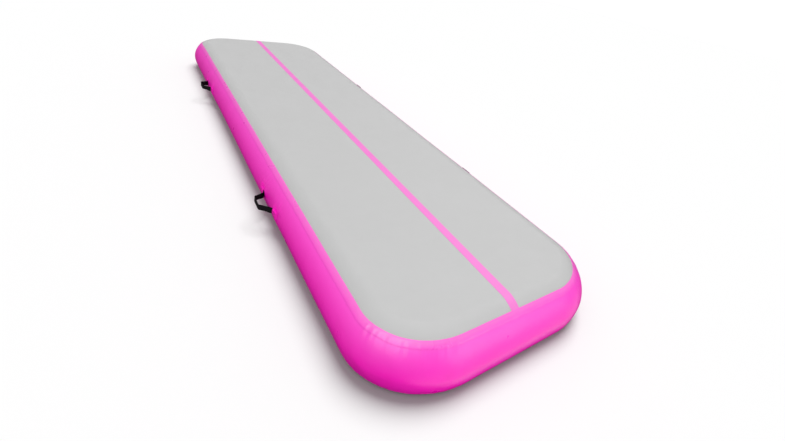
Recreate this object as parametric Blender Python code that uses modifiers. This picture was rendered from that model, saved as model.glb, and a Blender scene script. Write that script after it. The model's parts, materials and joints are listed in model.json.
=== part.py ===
"""An inflatable air track mat for tumbling, deflatable and carried by four webbing handles.

Metres, +Z up. The origin is on the floor under the middle of the mat. The length runs along Y
and the width along X. The valve is in the end wall at +Y.

The mat is a stack of thin skins round a drop-stitch core. Every skin is taken from one edge
profile: a flat top, a shoulder that rolls over to the widest line, and a foot that tucks under
to the flat bottom. A place on that profile is a number from 1, where the flat top starts,
through 0, on the widest line, to -1, where the flat bottom starts.
"""

import math

import bmesh
import bpy
from mathutils import Matrix, Vector

MM = 0.001
GAP = 0.3 * MM

# The inflated mat
LENGTH = 3.8
WIDTH = 1.0
HEIGHT = 0.2
CORNER_RADIUS = 0.29
CORNER_STEPS = 8
BULGE_HEIGHT = 0.07
SHOULDER_REACH = 0.126
SHOULDER_POWER = 1.7
FOOT_REACH = 0.03
FOOT_POWER = 2.4

# Thicknesses of the layers, from outside to inside
COVER = 0.8 * MM
LAMINATE = 0.6 * MM
CLOTH = 1.2 * MM
TAPE = 0.8 * MM
LAMINATE_DEPTH = COVER + GAP
CLOTH_DEPTH = LAMINATE_DEPTH + LAMINATE + GAP

# Places on the edge profile
TOP_TAPE = (0.67, 0.545)
TOP_JOINT = 0.61
BOTTOM_JOINT = -0.58
BOTTOM_TAPE = (-0.44, -0.71)
JOINT_GAP = 0.005
TOP_RINGS = 5

STRIPE_WIDTH = 0.034
LAP_TAPE_X = -0.14
LAP_TAPE_WIDTH = 0.04

# Drop-stitch yarns, gathered into bundles
YARN_RADIUS = 3 * MM
YARN_COLUMNS = 4
YARN_ROWS = 15
YARN_SPACING_X = 0.2
YARN_SPACING_Y = 0.235

# Handles: a flat strap that stands out from the wall as a trapezium
HANDLE_FRONT_Y = -0.785
HANDLE_BACK_Y = 0.83
HANDLE_HEIGHT = 0.084
WEBBING_WIDTH = 25 * MM
WEBBING = 2.5 * MM
HANDLE_REACH = 47 * MM
HANDLE_FOOT = 70 * MM
HANDLE_TOP = 36 * MM
HANDLE_FREE_FROM = 14 * MM
SEWN_END_LENGTH = 39 * MM
BEND_RADIUS = 9 * MM
BEND_STEPS = 4
POCKET_MOUTH = 81 * MM
POCKET_END = 138 * MM
POCKET_HALF_HEIGHT = 30 * MM
POCKET_SKIN = 1.0 * MM

# Valve, along its own axis: 0 is the wall's surface and + is out of the mat
VALVE_X = 0.12
VALVE_HEIGHT = 0.09
VALVE_STEPS = 24
BARREL_RADIUS = 15 * MM
WALL_HOLE_RADIUS = 15.6 * MM
FLANGE_RADIUS = 24.5 * MM
FLANGE_BOTTOM = 2.7 * MM
FLANGE_TOP = 5.7 * MM
MOUTH_RADIUS = 10.6 * MM
SEAT_TOP = -16 * MM
SEAT_BOTTOM = -18 * MM
SEAT_RADIUS = 8 * MM
HUB_TOP = -15 * MM
HUB_RADIUS = 4 * MM
HUB_BORE = 2.3 * MM
EAR_REACH = 33 * MM
EAR_WIDTH = 11 * MM
STEM_RADIUS = 2 * MM
BUTTON_TOP = -6 * MM
BUTTON_BOTTOM = -8 * MM
BUTTON_RADIUS = 5.5 * MM
SEAL_RADIUS = 10.8 * MM
SEAL_THICKNESS = 1.5 * MM
STEM_HEAD_RADIUS = 6 * MM
STEM_HEAD = 1.5 * MM
SPRING_RADIUS = 3.2 * MM
SPRING_WIRE = 0.35 * MM
SPRING_TURNS = 3
SPRING_STEPS = 12
STRAP_BOTTOM = 6.0 * MM
STRAP_THICKNESS = 1.2 * MM
STRAP_RING_RADIUS = 14 * MM
STRAP_HOLE_RADIUS = 10.3 * MM
STRAP_WIDTH = 9 * MM
STRAP_HINGE = 30 * MM
CAP_RADIUS = 16 * MM
CAP_BOTTOM = 7.5 * MM
CAP_TOP = 10.5 * MM
PLUG_RADIUS = 10 * MM
PLUG_BOTTOM = 1.5 * MM
GRIP_LENGTH = 24 * MM
GRIP_WIDTH = 4.5 * MM
GRIP_TOP = 15 * MM
VALVE_PATCH_INNER = 25 * MM
VALVE_PATCH_OUTER = 44 * MM

COLOURS = {
    "pink_cover": ((0.86, 0.02, 0.42), 0.42),
    "pink_tape": ((0.90, 0.10, 0.50), 0.38),
    "grey_cover": ((0.60, 0.60, 0.60), 0.62),
    "white_laminate": ((0.80, 0.80, 0.78), 0.5),
    "core_cloth": ((0.85, 0.84, 0.80), 0.9),
    "black_webbing": ((0.01, 0.008, 0.01), 0.8),
    "grey_plastic": ((0.30, 0.30, 0.31), 0.4),
    "black_rubber": ((0.02, 0.02, 0.02), 0.7),
    "spring_steel": ((0.65, 0.65, 0.65), 0.25),
}


# ---- Scene helpers ----


def clear_scene():
    for obj in list(bpy.data.objects):
        bpy.data.objects.remove(obj, do_unlink=True)


def new_collection(name):
    made = bpy.data.collections.new(name)
    bpy.context.scene.collection.children.link(made)
    return made


def make_materials():
    made = {}
    for name, (colour, roughness) in COLOURS.items():
        material = bpy.data.materials.new(name)
        material.use_nodes = True
        shader = material.node_tree.nodes["Principled BSDF"]
        shader.inputs["Base Color"].default_value = (*colour, 1)
        shader.inputs["Roughness"].default_value = roughness
        shader.inputs["Metallic"].default_value = 1.0 if name == "spring_steel" else 0.0
        made[name] = material
    return made


def add_piece(name, data, material, parent=None):
    """A visible sub-part, placed by its parent if it has one."""
    obj = bpy.data.objects.new(name, data)
    data.materials.append(MATERIALS[material])
    PARTS.objects.link(obj)
    obj.parent = parent
    return obj


def add_cutter(name, data, parent=None):
    obj = bpy.data.objects.new(name, data)
    CUTTERS.objects.link(obj)
    obj.parent = parent
    obj.hide_render = True
    obj.display_type = "WIRE"
    return obj


def add_boolean(obj, operation, other):
    modifier = obj.modifiers.new(other.name, "BOOLEAN")
    modifier.operation = operation
    modifier.object = other


def closed_mesh(name, points, faces):
    """A mesh whose faces all point out."""
    mesh = bpy.data.meshes.new(name)
    mesh.from_pydata(points, [], faces)
    work = bmesh.new()
    work.from_mesh(mesh)
    bmesh.ops.recalc_face_normals(work, faces=work.faces)
    work.to_mesh(mesh)
    work.free()
    return mesh


def shade_round(mesh):
    mesh.shade_smooth()
    mesh.set_sharp_from_angle(angle=math.radians(35))


def box_mesh(name, low, high):
    work = bmesh.new()
    bmesh.ops.create_cube(work, size=1)
    low = Vector(low)
    high = Vector(high)
    size = high - low
    bmesh.ops.scale(work, vec=size, verts=work.verts)
    bmesh.ops.translate(work, vec=(low + high) / 2, verts=work.verts)
    mesh = bpy.data.meshes.new(name)
    work.to_mesh(mesh)
    work.free()
    return mesh


def cylinder_mesh(name, radius, bottom, top, segments, places=((0, 0),)):
    """Upright cylinders of one size, one at each place."""
    work = bmesh.new()
    for x, y in places:
        bmesh.ops.create_cone(
            work,
            cap_ends=True,
            segments=segments,
            radius1=radius,
            radius2=radius,
            depth=top - bottom,
            matrix=Matrix.Translation((x, y, (top + bottom) / 2)),
        )
    mesh = bpy.data.meshes.new(name)
    work.to_mesh(mesh)
    work.free()
    return mesh


def turned(name, profile, material, parent, closed):
    """A body turned about its own Z. The profile runs down its outer side."""
    mesh = bpy.data.meshes.new(name)
    points = [(r, 0, z) for r, z in profile]
    edges = [(i, i + 1) for i in range(len(points) - 1)]
    if closed:
        edges.append((len(points) - 1, 0))
    mesh.from_pydata(points, edges, [])
    obj = add_piece(name, mesh, material, parent)
    screw = obj.modifiers.new("Turn", "SCREW")
    screw.axis = "Z"
    screw.angle = 2 * math.pi
    screw.steps = VALVE_STEPS
    screw.render_steps = VALVE_STEPS
    screw.use_merge_vertices = True
    screw.merge_threshold = 0.00001
    screw.use_smooth_shade = True
    return obj


def flat_piece(name, outlines, thickness, material, parent, middle=0.0):
    """A flat outline, with holes if there are more outlines, thickened evenly about its middle."""
    curve = bpy.data.curves.new(name, "CURVE")
    curve.dimensions = "2D"
    curve.fill_mode = "BOTH"
    curve.extrude = thickness / 2
    for outline in outlines:
        spline = curve.splines.new("POLY")
        spline.points.add(len(outline) - 1)
        for point, (x, y) in zip(spline.points, outline):
            point.co = (x, y, 0, 1)
        spline.use_cyclic_u = True
    obj = add_piece(name, curve, material, parent)
    obj.location.z = middle
    return obj


# ---- The edge profile ----


def profile_at(place):
    """(outset from the widest line, height) at a place on the edge profile."""
    angle = abs(place) * math.pi / 2
    if place >= 0:
        reach = SHOULDER_REACH
        rise = HEIGHT - BULGE_HEIGHT
        power = 2 / SHOULDER_POWER
    else:
        reach = FOOT_REACH
        rise = -BULGE_HEIGHT
        power = 2 / FOOT_POWER
    across = max(math.cos(angle), 0) ** power
    up = math.sin(angle) ** power
    return reach * (across - 1), BULGE_HEIGHT + rise * up


def profile_normal(place):
    """The unit vector out of the wall there, as (outset, height)."""
    if abs(place) == 1:
        return 0.0, math.copysign(1, place)
    step = 1e-4
    low_out, low_z = profile_at(place - step)
    high_out, high_z = profile_at(place + step)
    along = math.hypot(high_out - low_out, high_z - low_z)
    return (high_z - low_z) / along, (low_out - high_out) / along


def skin_at(place, depth):
    """The profile's point at that depth under the surface."""
    out, z = profile_at(place)
    normal_out, normal_z = profile_normal(place)
    return out - depth * normal_out, z - depth * normal_z


def place_at_height(z):
    """The place on the wall at that height, by halving."""
    low = -1.0
    high = 1.0
    for _ in range(40):
        middle = (low + high) / 2
        if profile_at(middle)[1] < z:
            low = middle
        else:
            high = middle
    return (low + high) / 2


def outline(out, z):
    """A rounded rectangle at that outset from the widest line."""
    radius = CORNER_RADIUS + out
    points = []
    for corner, (side_x, side_y) in enumerate(((1, 1), (-1, 1), (-1, -1), (1, -1))):
        for step in range(CORNER_STEPS + 1):
            angle = math.pi / 2 * (corner + step / CORNER_STEPS)
            x = side_x * (WIDTH / 2 - CORNER_RADIUS) + radius * math.cos(angle)
            y = side_y * (LENGTH / 2 - CORNER_RADIUS) + radius * math.sin(angle)
            points.append((x, y, z))
    return points


def spaced(start, end, count):
    return [start + (end - start) * i / (count - 1) for i in range(count)]


# ---- Skins ----


def ring_faces(rings, count):
    """Quads between each ring and the next, as (ring, ring) pairs of a list of equal rings."""
    faces = []
    for low, high in rings:
        for i in range(count):
            j = (i + 1) % count
            faces.append((low * count + i, low * count + j, high * count + j, high * count + i))
    return faces


def band(name, places, top_depth, bottom_depth, material):
    """A strip of skin right round the mat, between two depths."""
    section = [skin_at(place, top_depth) for place in places]
    section += [skin_at(place, bottom_depth) for place in reversed(places)]
    loops = [outline(out, z) for out, z in section]
    points = [point for loop in loops for point in loop]
    pairs = [(i, (i + 1) % len(loops)) for i in range(len(loops))]
    mesh = closed_mesh(name, points, ring_faces(pairs, len(loops[0])))
    shade_round(mesh)
    return add_piece(name, mesh, material)


def sheet_mesh(name, places, top_depth, bottom_depth):
    """A whole top or bottom skin. The places run from the flat out to its edge."""
    section = [skin_at(place, top_depth) for place in places]
    section += [skin_at(place, bottom_depth) for place in reversed(places)]
    loops = [outline(out, z) for out, z in section]
    count = len(loops[0])
    points = [point for loop in loops for point in loop]
    faces = ring_faces([(i, i + 1) for i in range(len(loops) - 1)], count)
    faces.append(tuple(range(count)))
    faces.append(tuple(range(len(points) - count, len(points))))
    mesh = closed_mesh(name, points, faces)
    shade_round(mesh)
    return mesh


def make_top_cover():
    """Two grey panels with the pink centre line between them."""
    places = spaced(1, TOP_JOINT + JOINT_GAP, TOP_RINGS)
    edge = STRIPE_WIDTH / 2
    pieces = (
        ("top_panel_left", -WIDTH, -edge - GAP / 2, "grey_cover"),
        ("centre_line", -edge + GAP / 2, edge - GAP / 2, "pink_tape"),
        ("top_panel_right", edge + GAP / 2, WIDTH, "grey_cover"),
    )
    for name, low_x, high_x, material in pieces:
        piece = add_piece(name, sheet_mesh(name, places, 0, COVER), material)
        part = box_mesh(name + "_span", (low_x, -LENGTH, 0), (high_x, LENGTH, 2 * HEIGHT))
        add_boolean(piece, "INTERSECT", add_cutter(name + "_span", part))


def make_skins():
    outer_wall = band("outer_side_wall", WALL_PLACES, 0, COVER, "pink_cover")
    inner_wall = band("inner_side_wall", WALL_PLACES, LAMINATE_DEPTH, LAMINATE_DEPTH + LAMINATE, "white_laminate")
    band("top_seam_tape", spaced(*TOP_TAPE, 4), -GAP - TAPE, -GAP, "pink_tape")
    band("bottom_seam_tape", spaced(*BOTTOM_TAPE, 4), -GAP - TAPE, -GAP, "pink_tape")
    top_places = spaced(1, TOP_JOINT + JOINT_GAP, TOP_RINGS)
    bottom_places = spaced(-1, BOTTOM_JOINT - JOINT_GAP, 4)
    inside = (LAMINATE_DEPTH, LAMINATE_DEPTH + LAMINATE)
    add_piece("top_laminate", sheet_mesh("top_laminate", top_places, *inside), "white_laminate")
    add_piece("bottom_laminate", sheet_mesh("bottom_laminate", bottom_places, *inside), "white_laminate")
    add_piece("bottom_panel", sheet_mesh("bottom_panel", bottom_places, 0, COVER), "pink_cover")
    return outer_wall, inner_wall


def make_lap_tape():
    """The strip over the joint where the two ends of the side wall band meet."""
    places = [place for place in WALL_PLACES if BOTTOM_TAPE[0] < place < TOP_TAPE[1]]
    section = [skin_at(place, -GAP - TAPE) for place in places]
    section += [skin_at(place, -GAP) for place in reversed(places)]
    count = len(section)
    points = []
    for x in (LAP_TAPE_X - LAP_TAPE_WIDTH / 2, LAP_TAPE_X + LAP_TAPE_WIDTH / 2):
        points += [(x, LENGTH / 2 + out, z) for out, z in section]
    faces = [(i, (i + 1) % count, count + (i + 1) % count, count + i) for i in range(count)]
    faces += [(i, i + 1, count - 2 - i, count - 1 - i) for i in range(count // 2 - 1)]
    faces += [tuple(count + i for i in face) for face in faces[-(count // 2 - 1):]]
    add_piece("wall_lap_tape", closed_mesh("wall_lap_tape", points, faces), "pink_tape")


def make_core():
    """Upper and lower base cloth, tied to each other by bundles of drop-stitch yarn."""
    flat = -SHOULDER_REACH
    lower = outline(flat, CLOTH_DEPTH)
    count = len(lower)
    levels = (CLOTH_DEPTH, CLOTH_DEPTH + CLOTH, HEIGHT - CLOTH_DEPTH - CLOTH, HEIGHT - CLOTH_DEPTH)
    points = [(x, y, z) for z in levels for x, y, _ in lower]
    faces = ring_faces(((0, 1), (2, 3)), count)
    faces += [tuple(range(level * count, (level + 1) * count)) for level in range(4)]
    core = add_piece("drop_stitch_core", closed_mesh("drop_stitch_core", points, faces), "core_cloth")
    places = [
        (YARN_SPACING_X * (column - (YARN_COLUMNS - 1) / 2), YARN_SPACING_Y * (row - (YARN_ROWS - 1) / 2))
        for column in range(YARN_COLUMNS)
        for row in range(YARN_ROWS)
    ]
    middle_of_cloth = CLOTH_DEPTH + CLOTH / 2
    yarns = cylinder_mesh("yarns", YARN_RADIUS, middle_of_cloth, HEIGHT - middle_of_cloth, 6, places)
    add_boolean(core, "UNION", add_cutter("yarn_bundles", yarns))


# ---- Things that sit on the wall ----


def wall_frame(height):
    """(outset, angle of the wall's normal above level) at that height."""
    place = place_at_height(height)
    normal_out, normal_z = profile_normal(place)
    return profile_at(place)[0], math.atan2(normal_z, normal_out)


def wall_rise(height, up):
    """How far the wall stands out of its tangent plane at that height, a distance up along the plane."""
    base_out, base_z = profile_at(place_at_height(height))
    _, tilt = wall_frame(height)
    low = -0.95
    high = 0.95
    for _ in range(40):
        middle = (low + high) / 2
        out, z = profile_at(middle)
        along = (z - base_z) * math.cos(tilt) - (out - base_out) * math.sin(tilt)
        if along < up:
            low = middle
        else:
            high = middle
    out, z = profile_at((low + high) / 2)
    return (out - base_out) * math.cos(tilt) + (z - base_z) * math.sin(tilt)


def add_frame(name, location, rotation):
    """An empty whose X, or Z for the valve, points straight out of the wall."""
    empty = bpy.data.objects.new(name, None)
    PARTS.objects.link(empty)
    empty.empty_display_size = 0.03
    empty.location = location
    empty.rotation_euler = rotation
    return empty


def rounded_path(points, radius, steps):
    """The open path through the points, with an arc of that radius at each inner one."""
    path = [Vector(points[0])]
    for before, corner, after in zip(points, points[1:], points[2:]):
        before = Vector(before)
        corner = Vector(corner)
        after = Vector(after)
        come = (before - corner).normalized()
        leave = (after - corner).normalized()
        half = come.angle(leave) / 2
        middle = corner + (come + leave).normalized() * radius / math.sin(half)
        start = corner + come * radius / math.tan(half) - middle
        turn = math.pi - 2 * half
        if start.x * leave.y - start.y * leave.x < 0:
            turn = -turn
        for step in range(steps + 1):
            arm = start.copy()
            arm.rotate(Matrix.Rotation(turn * step / steps, 2))
            path.append(middle + arm)
    path.append(Vector(points[-1]))
    return path


def thickened(path, thickness):
    """The outline of a flat path with square ends."""
    left = []
    right = []
    for i, point in enumerate(path):
        along = (path[min(i + 1, len(path) - 1)] - path[max(i - 1, 0)]).normalized()
        side = Vector((-along.y, along.x)) * thickness / 2
        left.append(point + side)
        right.append(point - side)
    return [tuple(p) for p in left + right[::-1]]


def arm_point(out):
    """A point on the strap's arm, as (out of the wall, along it from the handle's middle)."""
    return out, HANDLE_FOOT + (HANDLE_TOP - HANDLE_FOOT) * out / HANDLE_REACH


def make_handle_loop(name, frame):
    """The free part of the strap, which the hand goes through."""
    start_out, start_along = arm_point(HANDLE_FREE_FROM)
    corners = (
        (start_out, -start_along),
        (HANDLE_REACH, -HANDLE_TOP),
        (HANDLE_REACH, HANDLE_TOP),
        (start_out, start_along),
    )
    path = rounded_path(corners, BEND_RADIUS, BEND_STEPS)
    flat_piece(name + "_loop", [thickened(path, WEBBING)], WEBBING_WIDTH, "black_webbing", frame)


def make_sewn_end(name, frame, side):
    """The strap's end, flat on the wall and then bent out towards the loop."""
    flat = GAP + WEBBING / 2
    far = POCKET_MOUTH + SEWN_END_LENGTH
    step = GAP / math.hypot(HANDLE_REACH, HANDLE_FOOT - HANDLE_TOP) * HANDLE_REACH
    end_out, end_along = arm_point(HANDLE_FREE_FROM - step)
    corners = ((flat, side * far), (flat, side * arm_point(flat)[1]), (end_out, side * end_along))
    path = rounded_path(corners, BEND_RADIUS, BEND_STEPS)
    flat_piece(name, [thickened(path, WEBBING)], WEBBING_WIDTH, "black_webbing", frame)


def fade(distance, width):
    """1 up to a distance of 0, falling smoothly to 0 at the width."""
    t = min(max(distance / width, 0), 1)
    return 1 - t * t * (3 - 2 * t)


def make_pocket(name, frame, side):
    """The welded patch that covers a sewn end, open towards the handle."""
    along_places = spaced(POCKET_MOUTH, POCKET_END, 8)
    up_places = spaced(-POCKET_HALF_HEIGHT, POCKET_HALF_HEIGHT, 9)
    plateau = 2 * GAP + WEBBING
    margin = 1.5 * MM
    end_of_strap = POCKET_MOUTH + SEWN_END_LENGTH + margin
    half_strap = WEBBING_WIDTH / 2 + margin
    fade_width = 8 * MM
    points = []
    for thickness in (0, POCKET_SKIN):
        for along in along_places:
            for up in up_places:
                raised = fade(along - end_of_strap, fade_width) * fade(abs(up) - half_strap, fade_width)
                wall = wall_rise(HANDLE_HEIGHT, up * frame["up_sign"]) + GAP
                out = wall + (max(plateau, wall) - wall) * raised + thickness
                points.append((out, side * along, up))
    rows = len(along_places)
    columns = len(up_places)
    mesh = closed_mesh(name, points, slab_faces(rows, columns, False))
    shade_round(mesh)
    add_piece(name, mesh, "pink_cover", frame)


def slab_faces(rows, columns, around):
    """The faces of a two-sided grid. Its rows close on themselves if it goes around."""
    layer = rows * columns
    faces = []
    row_steps = rows if around else rows - 1
    for row in range(row_steps):
        next_row = (row + 1) % rows
        for column in range(columns - 1):
            quad = (
                row * columns + column,
                next_row * columns + column,
                next_row * columns + column + 1,
                row * columns + column + 1,
            )
            faces.append(quad)
            faces.append(tuple(layer + i for i in quad))
        for column in (0, columns - 1):
            low = row * columns + column
            high = next_row * columns + column
            faces.append((low, high, layer + high, layer + low))
    if not around:
        for row in (0, rows - 1):
            for column in range(columns - 1):
                low = row * columns + column
                faces.append((low, low + 1, layer + low + 1, layer + low))
    return faces


def make_handles():
    out, tilt = wall_frame(HANDLE_HEIGHT)
    for side_name, side in (("left", -1), ("right", 1)):
        turn = -tilt if side > 0 else math.pi + tilt
        for end_name, along in (("front", HANDLE_FRONT_Y), ("back", HANDLE_BACK_Y)):
            name = f"handle_{side_name}_{end_name}"
            place = (side * (WIDTH / 2 + out), along, HANDLE_HEIGHT)
            frame = add_frame(name + "_axis", place, (0, turn, 0))
            # On the left the frame's Z points down the wall.
            frame["up_sign"] = side
            make_handle_loop(name, frame)
            for half_name, half in (("a", -1), ("b", 1)):
                make_sewn_end(f"{name}_sewn_end_{half_name}", frame, half)
                make_pocket(f"{name}_patch_{half_name}", frame, half)


# ---- Valve ----


def make_valve_patch(frame):
    """A ring of reinforcement welded to the wall round the valve, on the wall's own curve."""
    steps = 2 * VALVE_STEPS
    radii = spaced(VALVE_PATCH_INNER, VALVE_PATCH_OUTER, 4)
    points = []
    for top in (GAP, GAP + TAPE):
        for step in range(steps):
            angle = 2 * math.pi * step / steps
            for radius in radii:
                up = radius * math.sin(angle)
                points.append((radius * math.cos(angle), up, wall_rise(VALVE_HEIGHT, up) + top))
    mesh = closed_mesh("valve_patch", points, slab_faces(steps, len(radii), True))
    shade_round(mesh)
    add_piece("valve_patch", mesh, "pink_cover", frame)


def make_valve_body(frame):
    """Flange, barrel and seat in one moulding, with a hub on three spokes that guides the stem."""
    edge = 1 * MM
    profile = (
        (MOUTH_RADIUS, FLANGE_TOP),
        (FLANGE_RADIUS - edge, FLANGE_TOP),
        (FLANGE_RADIUS, FLANGE_TOP - edge),
        (FLANGE_RADIUS, FLANGE_BOTTOM),
        (BARREL_RADIUS, FLANGE_BOTTOM),
        (BARREL_RADIUS, SEAT_BOTTOM),
        (SEAT_RADIUS, SEAT_BOTTOM),
        (SEAT_RADIUS, SEAT_TOP),
        (MOUTH_RADIUS, SEAT_TOP),
    )
    body = turned("valve_body", profile, "grey_plastic", frame, closed=True)
    for index in range(3):
        spoke = box_mesh("spoke", (0, -1 * MM, SEAT_BOTTOM + GAP), (SEAT_RADIUS + 1 * MM, 1 * MM, SEAT_TOP))
        cutter = add_cutter(f"valve_spoke_{index}", spoke, frame)
        cutter.rotation_euler.z = 2 * math.pi * index / 3
        add_boolean(body, "UNION", cutter)
    hub = cylinder_mesh("hub", HUB_RADIUS, SEAT_BOTTOM + 2 * GAP, HUB_TOP, 16)
    add_boolean(body, "UNION", add_cutter("valve_hub", hub, frame))
    bore = cylinder_mesh("bore", HUB_BORE, SEAT_BOTTOM - 2 * MM, HUB_TOP + 2 * MM, 16)
    add_boolean(body, "DIFFERENCE", add_cutter("valve_hub_bore", bore, frame))
    ear_low = (FLANGE_RADIUS - 3 * MM, -EAR_WIDTH / 2, FLANGE_BOTTOM + GAP)
    ear_high = (EAR_REACH, EAR_WIDTH / 2, FLANGE_TOP - GAP)
    add_boolean(body, "UNION", add_cutter("valve_ear", box_mesh("ear", ear_low, ear_high), frame))


def make_washer(name, inner, outer, bottom, top, material, frame):
    profile = ((inner, top), (outer, top), (outer, bottom), (inner, bottom))
    return turned(name, profile, material, frame, closed=True)


def make_plunger(frame):
    """The push button and its stem, which carries the seal below the seat."""
    head_top = SEAT_BOTTOM - 2 * GAP - SEAL_THICKNESS
    edge = 0.6 * MM
    profile = (
        (0, BUTTON_TOP),
        (BUTTON_RADIUS - edge, BUTTON_TOP),
        (BUTTON_RADIUS, BUTTON_TOP - edge),
        (BUTTON_RADIUS, BUTTON_BOTTOM),
        (STEM_RADIUS, BUTTON_BOTTOM),
        (STEM_RADIUS, head_top),
        (STEM_HEAD_RADIUS, head_top),
        (STEM_HEAD_RADIUS, head_top - STEM_HEAD),
        (0, head_top - STEM_HEAD),
    )
    turned("valve_plunger", profile, "grey_plastic", frame, closed=False)


def make_spring(frame):
    top = BUTTON_BOTTOM - GAP - SPRING_WIRE
    bottom = HUB_TOP + GAP + SPRING_WIRE
    curve = bpy.data.curves.new("valve_spring", "CURVE")
    curve.dimensions = "3D"
    curve.bevel_depth = SPRING_WIRE
    curve.bevel_resolution = 1
    curve.use_fill_caps = True
    count = SPRING_TURNS * SPRING_STEPS + 1
    spline = curve.splines.new("POLY")
    spline.points.add(count - 1)
    for i, point in enumerate(spline.points):
        angle = 2 * math.pi * i / SPRING_STEPS
        z = bottom + (top - bottom) * i / (count - 1)
        point.co = (SPRING_RADIUS * math.cos(angle), SPRING_RADIUS * math.sin(angle), z, 1)
    add_piece("valve_spring", curve, "spring_steel", frame)


def make_cap_strap(frame):
    """The ring round the cap's neck and the strap that holds it to the flange's ear."""
    half = STRAP_WIDTH / 2
    start = math.asin(half / STRAP_RING_RADIUS)
    ring = [
        (STRAP_RING_RADIUS * math.cos(angle), STRAP_RING_RADIUS * math.sin(angle))
        for angle in spaced(start, 2 * math.pi - start, 25)
    ]
    end = STRAP_HINGE - GAP / 2
    keyhole = ring + [(end, -half), (end, half)]
    hole = [
        (STRAP_HOLE_RADIUS * math.cos(angle), STRAP_HOLE_RADIUS * math.sin(angle))
        for angle in spaced(0, 2 * math.pi, 25)[:-1]
    ]
    keyhole = [(x - STRAP_HINGE, y) for x, y in keyhole]
    hole = [(x - STRAP_HINGE, y) for x, y in hole]
    hinge = bpy.data.objects.new("valve_cap_hinge_axis", None)
    PARTS.objects.link(hinge)
    hinge.empty_display_size = 0.01
    hinge.parent = frame
    hinge.location = (STRAP_HINGE, 0, STRAP_BOTTOM + STRAP_THICKNESS / 2)
    flat_piece("valve_cap_strap", [keyhole, hole], STRAP_THICKNESS, "black_rubber", hinge)


def make_cap(frame):
    """A cap with a plug that fills the valve's mouth and a bar to turn it by."""
    edge = 0.8 * MM
    profile = (
        (0, CAP_TOP),
        (CAP_RADIUS - edge, CAP_TOP),
        (CAP_RADIUS, CAP_TOP - edge),
        (CAP_RADIUS, CAP_BOTTOM),
        (PLUG_RADIUS, CAP_BOTTOM),
        (PLUG_RADIUS, PLUG_BOTTOM),
        (0, PLUG_BOTTOM),
    )
    cap = turned("valve_cap", profile, "grey_plastic", frame, closed=False)
    low = (-GRIP_LENGTH / 2, -GRIP_WIDTH / 2, CAP_TOP - 1 * MM)
    high = (GRIP_LENGTH / 2, GRIP_WIDTH / 2, GRIP_TOP)
    add_boolean(cap, "UNION", add_cutter("valve_cap_grip", box_mesh("grip", low, high), frame))


def make_valve(walls):
    out, tilt = wall_frame(VALVE_HEIGHT)
    place = (VALVE_X, LENGTH / 2 + out, VALVE_HEIGHT)
    # Local X lies along the wall, Y up it and Z straight out of it.
    normal = Vector((0, math.cos(tilt), math.sin(tilt)))
    upward = Vector((0, -math.sin(tilt), math.cos(tilt)))
    sideways = upward.cross(normal)
    rotation = Matrix((sideways, upward, normal)).transposed()
    frame = add_frame("valve_axis", place, rotation.to_euler())
    hole = cylinder_mesh("hole", WALL_HOLE_RADIUS, -20 * MM, 20 * MM, VALVE_STEPS)
    cutter = add_cutter("valve_wall_hole", hole, frame)
    for wall in walls:
        add_boolean(wall, "DIFFERENCE", cutter)
    make_valve_patch(frame)
    make_valve_body(frame)
    gasket_bottom = 1.4 * MM
    make_washer(
        "valve_gasket", BARREL_RADIUS + GAP, 23 * MM, gasket_bottom, FLANGE_BOTTOM - GAP, "black_rubber", frame
    )
    make_washer("valve_nut", BARREL_RADIUS + GAP, 22 * MM, -14 * MM, -8 * MM, "grey_plastic", frame)
    make_plunger(frame)
    seal_top = SEAT_BOTTOM - GAP
    make_washer(
        "valve_seal", STEM_RADIUS + GAP, SEAL_RADIUS, seal_top - SEAL_THICKNESS, seal_top, "black_rubber", frame
    )
    make_spring(frame)
    make_cap_strap(frame)
    make_cap(frame)


WALL_PLACES = spaced(TOP_JOINT - JOINT_GAP, 0, 6) + spaced(0, BOTTOM_JOINT + JOINT_GAP, 4)[1:]

clear_scene()
PARTS = new_collection("air_track_mat")
CUTTERS = new_collection("cutters")
MATERIALS = make_materials()
make_core()
make_top_cover()
WALLS = make_skins()
make_lap_tape()
make_handles()
make_valve(WALLS)
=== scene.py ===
"""The looks of an inflated air track mat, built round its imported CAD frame.

Every skin lies on one edge profile, the same as the CAD's: a place on it is 1 where the flat top
starts, 0 on the widest line and -1 where the flat bottom starts. relief() then moves all the
skins together, out or in, by the millimetre or so of a real mat's waves, puckers and creases.
"""

import json
import math

import bmesh
import bpy
import numpy as np
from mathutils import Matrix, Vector


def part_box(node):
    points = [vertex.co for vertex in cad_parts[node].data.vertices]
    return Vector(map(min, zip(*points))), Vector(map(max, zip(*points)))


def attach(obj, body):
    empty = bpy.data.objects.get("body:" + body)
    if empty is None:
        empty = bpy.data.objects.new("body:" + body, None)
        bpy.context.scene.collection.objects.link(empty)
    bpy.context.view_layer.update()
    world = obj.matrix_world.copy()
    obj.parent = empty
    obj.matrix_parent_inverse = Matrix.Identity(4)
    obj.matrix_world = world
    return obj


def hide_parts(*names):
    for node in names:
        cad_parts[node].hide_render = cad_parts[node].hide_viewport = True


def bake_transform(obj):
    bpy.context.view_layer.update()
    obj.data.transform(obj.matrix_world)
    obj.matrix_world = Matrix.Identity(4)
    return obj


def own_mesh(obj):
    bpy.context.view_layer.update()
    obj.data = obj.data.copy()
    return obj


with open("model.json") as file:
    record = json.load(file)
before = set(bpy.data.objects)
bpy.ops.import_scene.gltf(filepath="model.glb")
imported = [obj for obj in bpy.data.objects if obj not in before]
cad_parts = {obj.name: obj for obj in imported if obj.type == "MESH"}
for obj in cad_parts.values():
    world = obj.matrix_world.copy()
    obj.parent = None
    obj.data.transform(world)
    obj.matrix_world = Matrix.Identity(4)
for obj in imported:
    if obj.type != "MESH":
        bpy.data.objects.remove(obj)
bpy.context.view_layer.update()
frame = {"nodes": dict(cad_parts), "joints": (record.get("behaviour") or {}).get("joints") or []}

MM = 0.001

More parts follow.
